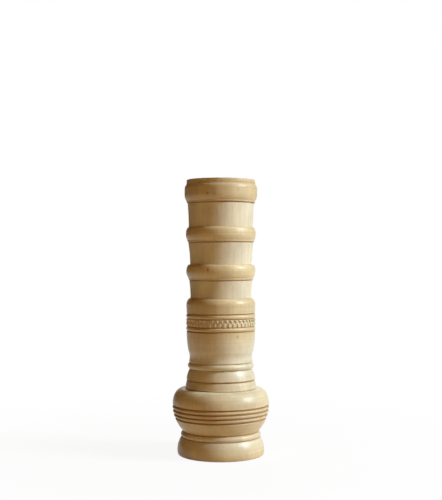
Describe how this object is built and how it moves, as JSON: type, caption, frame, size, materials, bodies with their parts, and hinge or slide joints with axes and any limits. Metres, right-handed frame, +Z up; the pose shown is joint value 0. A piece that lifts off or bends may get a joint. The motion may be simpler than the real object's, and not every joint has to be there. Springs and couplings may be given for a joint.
{
  "type": "bamboo flower vase",
  "caption": "Slim turned bamboo flower vase of stacked bored sections, with rounded rings, a carved zigzag band, a grooved bulb and a spreading foot.",
  "frame": {"origin": "centre of the foot on the surface it stands on", "axes": "+Z up along the axis of the bore, out of the mouth; X and Y are free, as the vase is turned"},
  "size_m": [0.1232, 0.1232, 0.35],
  "materials": {
    "pale_bamboo": "matte pale bamboo with fine upright fibre",
    "turned_bamboo": "semi-gloss lacquer over tan bamboo, burnt in its grooves",
    "carved_bamboo": "lacquered bamboo, burnt dark in the carved ground",
    "plug_bamboo": "raw bamboo board, sanded"
  },
  "bodies": {
    "root": {"foot": "turned_bamboo", "floor_plug": "plug_bamboo", "foot_bead": "turned_bamboo", "bulb": "turned_bamboo", "shoulder_ring": "turned_bamboo", "flared_collar": "pale_bamboo", "waist_bead": "turned_bamboo", "waist_sleeve": "turned_bamboo", "lower_fillet_ring": "carved_bamboo", "carved_band": "carved_bamboo", "upper_fillet_ring": "carved_bamboo", "band_shoulder": "turned_bamboo", "lower_culm": "pale_bamboo", "lower_node_ring": "turned_bamboo", "middle_culm": "pale_bamboo", "upper_node_ring": "turned_bamboo", "upper_culm": "pale_bamboo", "rim_collar": "turned_bamboo"}
  },
  "joints": []
}
